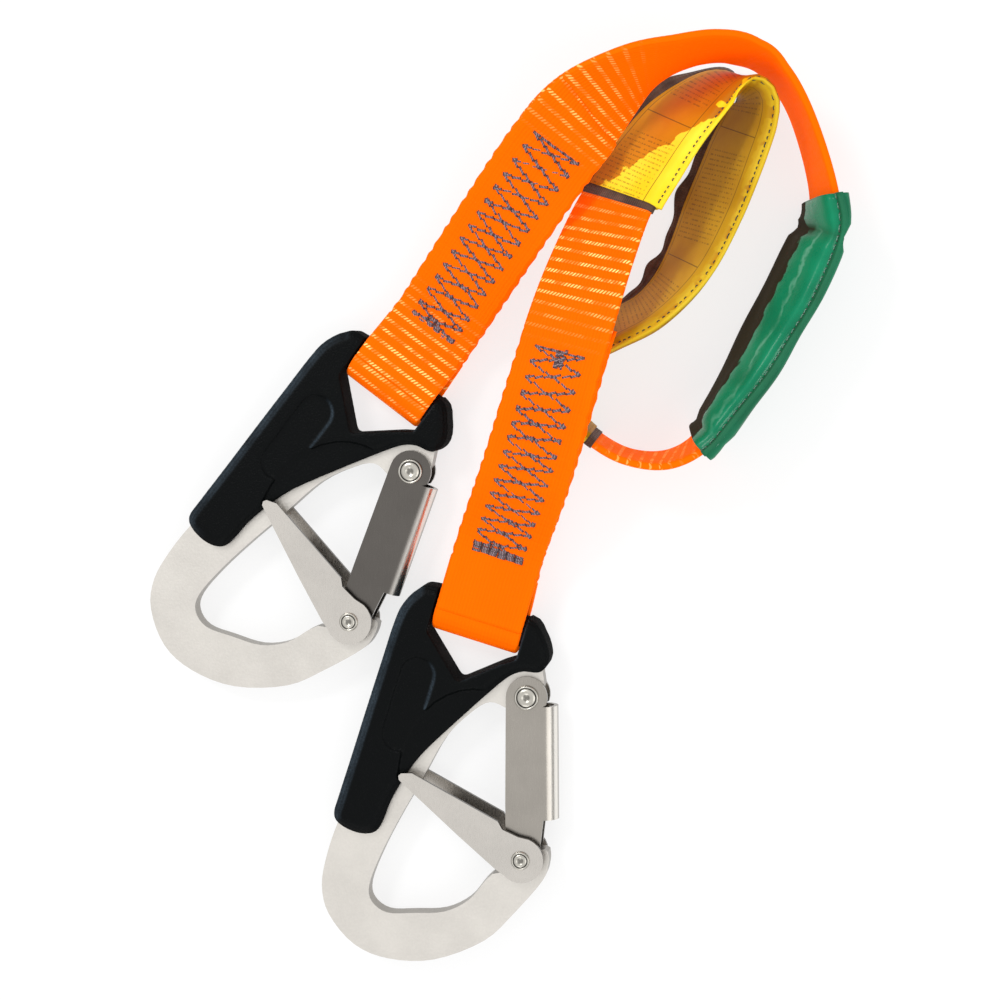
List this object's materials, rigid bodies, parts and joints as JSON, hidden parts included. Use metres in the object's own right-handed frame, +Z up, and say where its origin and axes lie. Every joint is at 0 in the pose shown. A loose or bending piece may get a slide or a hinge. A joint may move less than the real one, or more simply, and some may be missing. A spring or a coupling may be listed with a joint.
{
  "type": "shock absorbing lanyard",
  "caption": "Sewn webbing tether with an automatic hook at each end, an overload indicator under a green sleeve and a label sleeve; lies on a flat surface.",
  "frame": {"origin": "on the surface it lies on, below the middle of the whole piece as it lies", "axes": "+Z up from the surface, +Y from the hooks towards the bight of the webbing, +X towards the green sleeve"},
  "size_m": [0.1955, 0.254, 0.0396],
  "materials": {
    "blasted_steel": "matt, bead-blasted",
    "black_plastic": "satin, fine-grained",
    "brushed_steel": "satin, brushed along its length",
    "lever_steel": "satin, bead-blasted",
    "rivet_steel": "polished",
    "spring_steel": "plain",
    "orange_webbing": "woven polyester, slight sheen",
    "grey_thread": "sewing thread",
    "red_thread": "sewing thread",
    "green_vinyl": "glossy soft vinyl",
    "pale_thread": "sewing thread",
    "dark_lining": "plain woven lining",
    "yellow_label": "coated label cloth, printed with plain lines only",
    "black_thread": "sewing thread"
  },
  "bodies": {
    "webbing": {"webbing": "orange_webbing", "webbing_eye_1": "orange_webbing", "webbing_eye_2": "orange_webbing", "webbing_tail_1": "orange_webbing", "webbing_tail_2": "orange_webbing", "indicator_fold": "orange_webbing", "leg_1_stitching": "grey_thread", "leg_2_stitching": "grey_thread", "tear_stitching": "red_thread", "indicator_sleeve": "green_vinyl", "indicator_seam_stitching": "pale_thread", "label_lining": "dark_lining", "label_cover": "yellow_label", "label_seam_stitching": "black_thread"},
    "hook_1": {"hook_1_body": "blasted_steel", "hook_1_grip": "black_plastic", "hook_1_gate_rivet": "rivet_steel"},
    "gate_1": {"hook_1_gate": "brushed_steel", "hook_1_lever_rivet": "rivet_steel", "hook_1_gate_spring": "spring_steel", "hook_1_lever_spring": "spring_steel"},
    "lever_1": {"hook_1_lever": "lever_steel"},
    "hook_2": {"hook_2_body": "blasted_steel", "hook_2_grip": "black_plastic", "hook_2_gate_rivet": "rivet_steel"},
    "gate_2": {"hook_2_gate": "brushed_steel", "hook_2_lever_rivet": "rivet_steel", "hook_2_gate_spring": "spring_steel", "hook_2_lever_spring": "spring_steel"},
    "lever_2": {"hook_2_lever": "lever_steel"}
  },
  "joints": [
    {"name": "hook_1_swing", "type": "hinge", "parent": "webbing", "child": "hook_1", "pos_m": [-0.02677, 0.03687, 0.00695], "axis": [-0.7986, 0.6018, 0], "range_deg": [0, 90]},
    {"name": "gate_1_swing", "type": "hinge", "parent": "hook_1", "child": "gate_1", "pos_m": [-0.02198, 0.01203, 0.00695], "axis": [0, 0, -1], "range_deg": [0, 36], "stiffness_Nm_per_rad": 0.4, "springref_deg": -20.05},
    {"name": "lever_1_squeeze", "type": "hinge", "parent": "gate_1", "child": "lever_1", "pos_m": [-0.0392, -0.03002, 0.00695], "axis": [0, 0, -1], "range_deg": [0, 45], "stiffness_Nm_per_rad": 0.2, "springref_deg": -20.05},
    {"name": "hook_2_swing", "type": "hinge", "parent": "webbing", "child": "hook_2", "pos_m": [-0.00267, -0.02888, 0.00695], "axis": [-0.9588, 0.284, 0], "range_deg": [0, 90]},
    {"name": "gate_2_swing", "type": "hinge", "parent": "hook_2", "child": "gate_2", "pos_m": [0.01052, -0.05047, 0.00695], "axis": [0, 0, -1], "range_deg": [0, 36], "stiffness_Nm_per_rad": 0.4, "springref_deg": -20.05},
    {"name": "lever_2_squeeze", "type": "hinge", "parent": "gate_2", "child": "lever_2", "pos_m": [0.00912, -0.09588, 0.00695], "axis": [0, 0, -1], "range_deg": [0, 45], "stiffness_Nm_per_rad": 0.2, "springref_deg": -20.05}
  ],
  "couplings": [
    {"joint": "gate_1_swing", "follows": "lever_1_squeeze", "ratio": 0.8},
    {"joint": "gate_2_swing", "follows": "lever_2_squeeze", "ratio": 0.8}
  ]
}
